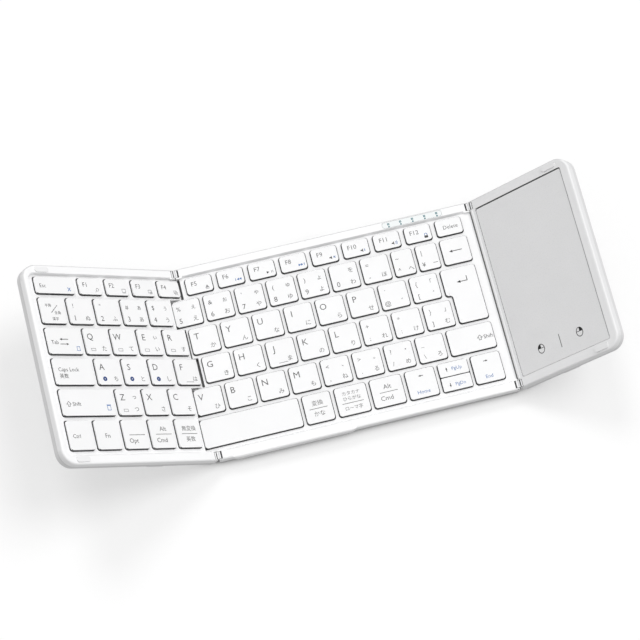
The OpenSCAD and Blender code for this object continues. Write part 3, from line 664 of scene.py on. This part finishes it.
def box(bank, ink, x, y, w, h, width=HAIR):
    line(bank, ink, [(x - w / 2, y - h / 2), (x + w / 2, y - h / 2),
                     (x + w / 2, y + h / 2), (x - w / 2, y + h / 2)], width, closed=True)


def cross(bank, ink, x, y, half_w, half_h, width):
    for turned in (-1, 1):
        line(bank, ink, [(x - half_w * turned, y - half_h), (x + half_w * turned, y + half_h)],
             width)


def triangle(bank, ink, x, y, size, turned=1):
    """Solid triangle that points along X, to the right for a turn of 1."""
    patch(bank, ink, [(x + turned * size / 2, y), (x - turned * size / 2, y + size / 2),
                      (x - turned * size / 2, y - size / 2)])


def bar(bank, ink, x, y, height):
    line(bank, ink, [(x, y - height / 2), (x, y + height / 2)], FINE)


def speaker(bank, ink, x, y):
    patch(bank, ink, [(x - 0.9, y - 0.3), (x - 0.3, y - 0.3), (x + 0.3, y - 0.9),
                      (x + 0.3, y + 0.9), (x - 0.3, y + 0.3), (x - 0.9, y + 0.3)])


# Small signs of the second functions, at the lower right of the esc and function keys
SIGN_X, SIGN_Y = 10.1, 37.0
cross("esc_key", "blue", from_seam(65), SIGN_Y, 0.8, 0.9, 0.32)
(lens_x, screen_x, pair_x, copy_x, eject_x, back_x, play_x, next_x, mute_x, quiet_x, loud_x,
 lock_x, _) = (x0 + SIGN_X for x0, *_ in CAPS[WING_F] + CAPS[CENTER_F])

line(WING_F, "pale", ellipse(lens_x + 0.2, SIGN_Y + 0.3, 0.7, 0.7), FINE, closed=True)
line(WING_F, "pale", [(lens_x - 0.4, SIGN_Y - 0.3), (lens_x - 1.1, SIGN_Y - 1.0)], FINE)
box(WING_F, "pale", screen_x, SIGN_Y + 0.2, 2.0, 1.6)
line(WING_F, "pale", [(screen_x - 1.0, SIGN_Y - 1.0), (screen_x + 1.0, SIGN_Y - 1.0)], HAIR)
box(WING_F, "pale", pair_x - 0.1, SIGN_Y + 0.2, 1.9, 1.5)
box(WING_F, "pale", pair_x + 0.5, SIGN_Y - 0.5, 1.1, 1.0)
box(WING_F, "pale", copy_x - 0.3, SIGN_Y + 0.3, 1.5, 1.3)
box(WING_F, "pale", copy_x + 0.3, SIGN_Y - 0.3, 1.5, 1.3)

patch(CENTER_F, "pale", [(eject_x - 1.0, SIGN_Y - 0.6), (eject_x + 1.0, SIGN_Y - 0.6),
                         (eject_x, SIGN_Y + 1.0)])
line(CENTER_F, "pale", [(eject_x - 1.0, SIGN_Y - 1.1), (eject_x + 1.0, SIGN_Y - 1.1)], HAIR)
for x, turned in ((back_x, -1), (next_x, 1)):
    bar(CENTER_F, "blue", x + turned * 1.5, SIGN_Y, 1.3)
    for step in (-0.6, 0.6):
        triangle(CENTER_F, "blue", x + step - 0.2 * turned, SIGN_Y, 1.2, turned)
triangle(CENTER_F, "black", play_x - 1.0, SIGN_Y, 1.3)
for step in (0.7, 1.4):
    bar(CENTER_F, "pale", play_x + step, SIGN_Y, 1.2)
for x, waves in ((mute_x, 0), (quiet_x, 1), (loud_x, 2)):
    speaker(CENTER_F, "grey", x - 0.7, SIGN_Y)
    for w in range(waves):
        line(CENTER_F, "blue",
             ellipse(x - 0.4, SIGN_Y, 0.9 + 0.6 * w, 1.0 + 0.5 * w, -40, 40, 6), FINE)
cross(CENTER_F, "blue", mute_x + 0.9, SIGN_Y, 0.5, 0.5, FINE)
patch(CENTER_F, "grey", [(lock_x - 0.9, SIGN_Y - 1.1), (lock_x + 0.9, SIGN_Y - 1.1),
                         (lock_x + 0.9, SIGN_Y + 0.1), (lock_x - 0.9, SIGN_Y + 0.1)])
shackle = ellipse(lock_x, SIGN_Y + 0.7, 0.6, 0.6, 180, 0, 8)
line(CENTER_F, "blue", [(lock_x - 0.6, SIGN_Y)] + shackle + [(lock_x + 0.6, SIGN_Y)], FINE)

# Small signs on the left wing's other keys
LOW_SIGN_X = 3.9
box("tab_key", "blue", from_seam(67.2), 7.3, 1.6, 2.0)
for bank, row, count in (("left_upper_letter_keys", "upper", 4),
                         ("left_lower_letter_keys", "lower", 1)):
    for x0, *_ in CAPS[bank][:count]:
        box(bank, "pale", x0 + LOW_SIGN_X, ROW_Y[row] - 4.1, 2.4, 1.2)
box("left_shift_key", "blue", from_seam(57.4), -21.9, 1.8, 2.2)
line("left_shift_key", "blue", [(from_seam(58.6), -20.5), (from_seam(56.2), -20.5)], MEDIUM)
for x0, *_ in CAPS["left_home_row_keys"][:3]:
    line("left_home_row_keys", "navy", ellipse(x0 + LOW_SIGN_X, -7.6, 0.7, 0.7), 0.85,
         closed=True)

# Homing bars on F and J
HOMING_Y = -9.1
for bank, x in (("left_home_row_keys", from_seam(6.0)), ("home_row_keys", -32.75)):
    line(bank, "pale", [(x - 2.2, HOMING_Y), (x + 2.2, HOMING_Y)], 0.28)

# Touchpad: painted shade of its edge gap, darkest at the back and round the back corners
PAD = "touchpad_plate"
PAD_CORNER = 0.9
BACK_INSET = 0.25
left_x, right_x, front_y, back_y = islands(PAD, 1)[0][:4]
line(PAD, "grey", [(left_x + PAD_CORNER, back_y - BACK_INSET),
                   (right_x - PAD_CORNER, back_y - BACK_INSET)], 2 * BACK_INSET)
for corner_x, start in ((right_x - PAD_CORNER, 0), (left_x + PAD_CORNER, 90)):
    line(PAD, "grey", ellipse(corner_x, back_y - PAD_CORNER, PAD_CORNER - 0.2,
                              PAD_CORNER - BACK_INSET, start, start + 90, 8), 0.38)
for x, width in ((right_x - 0.12, HAIR), (left_x + 0.1, 0.07)):
    line(PAD, "pale", [(x, back_y - PAD_CORNER), (x, front_y + PAD_CORNER)], width)

# Touchpad: the two button marks and the line between them
MOUSE_Y = -35.0
MOUSE_RX, MOUSE_RY = 1.75, 2.2
BUTTON_Y = MOUSE_Y + 0.3
BUTTON_RX, BUTTON_RY = 1.7, 1.9
for u, turned in ((17.2, -1), (39.5, 1)):
    x = SEAM_X + u
    line(PAD, "black", ellipse(x, MOUSE_Y, MOUSE_RX, MOUSE_RY), BOLD, closed=True)
    line(PAD, "black", [(x - BUTTON_RX, BUTTON_Y), (x + BUTTON_RX, BUTTON_Y)], MEDIUM)
    quarter = ellipse(x, BUTTON_Y, turned * BUTTON_RX, BUTTON_RY, 0, 90, 8)
    patch(PAD, "black", [(x, BUTTON_Y)] + quarter)
line(PAD, "grey", [(SEAM_X + 28.2, -31.8), (SEAM_X + 28.2, -38.5)], BOLD)

# The indicator window's edge, and five lamps under it, each with a small square behind
WINDOW = "indicator_window"
LAMP_X = (33.3, 39.3, 45.3, 51.4, 57.5)
for x0, x1, y0, y1, *_ in islands(WINDOW, 0):
    edge = rounded_outline([(x0, y0), (x1, y0), (x1, y1), (x0, y1)], (y1 - y0) / 2.1, 0.15)
    line(WINDOW, "pale", edge, 0.1, closed=True)
for x in LAMP_X:
    box(WINDOW, "teal", x, 47.0, 0.7, 0.7, BOLD)
    patch(WINDOW, "teal", ellipse(x + 0.1, 45.7, 0.42, 0.42, steps=16))

GLYPH_DEPTH = 0.02
GLYPH_OFFSET = -0.004    # thins the strokes


def glyph_meshes(texts):
    """Unit-size mesh of each text in Blender's own typeface."""
    made = {}
    for text in sorted(texts):
        curve = bpy.data.curves.new("label", "FONT")
        curve.body = text
        curve.resolution_u = 2
        curve.offset = GLYPH_OFFSET
        curve.extrude = GLYPH_DEPTH / 2
        made[text] = bpy.data.objects.new("label", curve)
        bpy.context.scene.collection.objects.link(made[text])
    bpy.context.view_layer.update()
    graph = bpy.context.evaluated_depsgraph_get()
    meshes = {text: bpy.data.meshes.new_from_object(obj.evaluated_get(graph))
              for text, obj in made.items()}
    for obj in made.values():
        curve = obj.data
        bpy.data.objects.remove(obj)
        bpy.data.curves.remove(curve)
    return meshes


def extent(mesh, k):
    """Least and greatest coordinate k of a mesh."""
    values = [v.co[k] for v in mesh.vertices]
    return min(values), max(values)


glyphs = glyph_meshes({entry[2] for entry in LABELS} | {entry[6] for entry in LABELS})
for where, ink, text, x, y, height, sample in LABELS:
    low, high = extent(glyphs[sample], 1)
    left, right = extent(glyphs[text], 0)
    size = height / (high - low)
    z_low, z_high = levels(where)
    mesh = glyphs[text].copy()
    mesh.transform(Matrix.Translation((x - size * (left + right) / 2,
                                       y - size * (low + high) / 2, (z_low + z_high) / 2))
                   @ Matrix.Diagonal((size, size, (z_high - z_low) / GLYPH_DEPTH, 1)))
    sheet(where, ink).from_mesh(mesh)
    bpy.data.meshes.remove(mesh)
for mesh in glyphs.values():
    bpy.data.meshes.remove(mesh)

for (where, ink), bm in PRINTS.items():
    side, body, _ = PRINT_PLACE[where]
    finish_mesh("%s_%s_print" % (where, ink), bm, side, body, (INKS[ink],),
                smooth=False)


# ---------------------------------------------------------------- stage, light and camera
FLOOR_SIZE = 6.0
FLOOR_BOUNCE = 0.55              # the floor's colour in the light that it throws
FLOOR_GLOW = 0.45                # share of its own white that it adds for the camera
# Painted shade of the floor under narrow gaps: its reach, openness range, least share, colour,
# rays
FLOOR_REACH = 0.015
FLOOR_GAP = (0.28, 0.6)
FLOOR_GAP_LIGHT = 0.12
FLOOR_GAP_SHADE = 0.08
FLOOR_RAYS = 16
WORLD_LIGHT = 0.56


def stage_material(name):
    """White for the camera, painted shade under narrow gaps, greyer in the light that it throws.
    """
    mat, n, links, shader = new_material(name)
    lit = openness(n, links, FLOOR_REACH, FLOOR_GAP, FLOOR_GAP_LIGHT, FLOOR_RAYS)
    shader.inputs["Roughness"].default_value = 0.9
    shader.inputs["Specular IOR Level"].default_value = 0.0
    seen = n.new("ShaderNodeLightPath").outputs["Is Camera Ray"]
    # Painted shade: dark floor, with less glow, in narrow gaps
    shown = blend_colours(n, links, lit, 3 * (FLOOR_GAP_SHADE,), (1, 1, 1))
    links.new(blend_colours(n, links, seen, 3 * (FLOOR_BOUNCE,), shown),
              shader.inputs["Base Color"])
    glow = n.new("ShaderNodeEmission")
    mix = n.new("ShaderNodeMixShader")
    links.new(product(n, links, product(n, links, seen, lit), FLOOR_GLOW), mix.inputs["Fac"])
    links.new(shader.outputs["BSDF"], mix.inputs[1])
    links.new(glow.outputs["Emission"], mix.inputs[2])
    links.new(mix.outputs["Shader"], n["Material Output"].inputs["Surface"])
    return mat


bm = bmesh.new()
bmesh.ops.create_grid(bm, x_segments=1, y_segments=1, size=FLOOR_SIZE)
floor_mesh = bpy.data.meshes.new("floor")
bm.to_mesh(floor_mesh)
bm.free()
floor = bpy.data.objects.new("floor", floor_mesh)
bpy.context.scene.collection.objects.link(floor)
floor.data.materials.append(stage_material("floor_white"))

world = bpy.data.worlds.new("studio")
bpy.context.scene.world = world
world.use_nodes = True
background = world.node_tree.nodes["Background"]
background.inputs["Color"].default_value = (1, 1, 1, 1)
background.inputs["Strength"].default_value = WORLD_LIGHT

# Name, direction, strength and angle in degrees
SOFTBOXES = [
    ("key_softbox", (0.5, 0.15, 0.85), 1.11, 30),
    ("back_softbox", (-0.05, 0.62, 0.78), 0.69, 18),
]
for name, toward, energy, angle in SOFTBOXES:
    lamp = bpy.data.lights.new(name, "SUN")
    lamp.energy = energy
    lamp.angle = math.radians(angle)
    sun = bpy.data.objects.new(name, lamp)
    sun.rotation_mode = "QUATERNION"
    sun.rotation_quaternion = Vector(toward).to_track_quat("Z", "Y")
    bpy.context.scene.collection.objects.link(sun)

# The camera at the photograph's angle of view, in millimetres and degrees
CAMERA_PLACE = (-99.06 + ORIGIN_X, -323.74, 1083.85)
CAMERA_TURN = (17.6609, -0.3254, -13.9000)
LENS = 131.735
cam_data = bpy.data.cameras.new("camera")
cam_data.lens = LENS
cam_data.sensor_width = 36.0
cam_data.clip_start = 0.05
cam_data.clip_end = 50.0
camera = bpy.data.objects.new("camera", cam_data)
camera.location = Vector(CAMERA_PLACE) * MM
camera.rotation_euler = [math.radians(a) for a in CAMERA_TURN]
bpy.context.scene.collection.objects.link(camera)
bpy.context.scene.camera = camera
bpy.context.scene.view_settings.view_transform = "Standard"

bpy.context.view_layer.update()
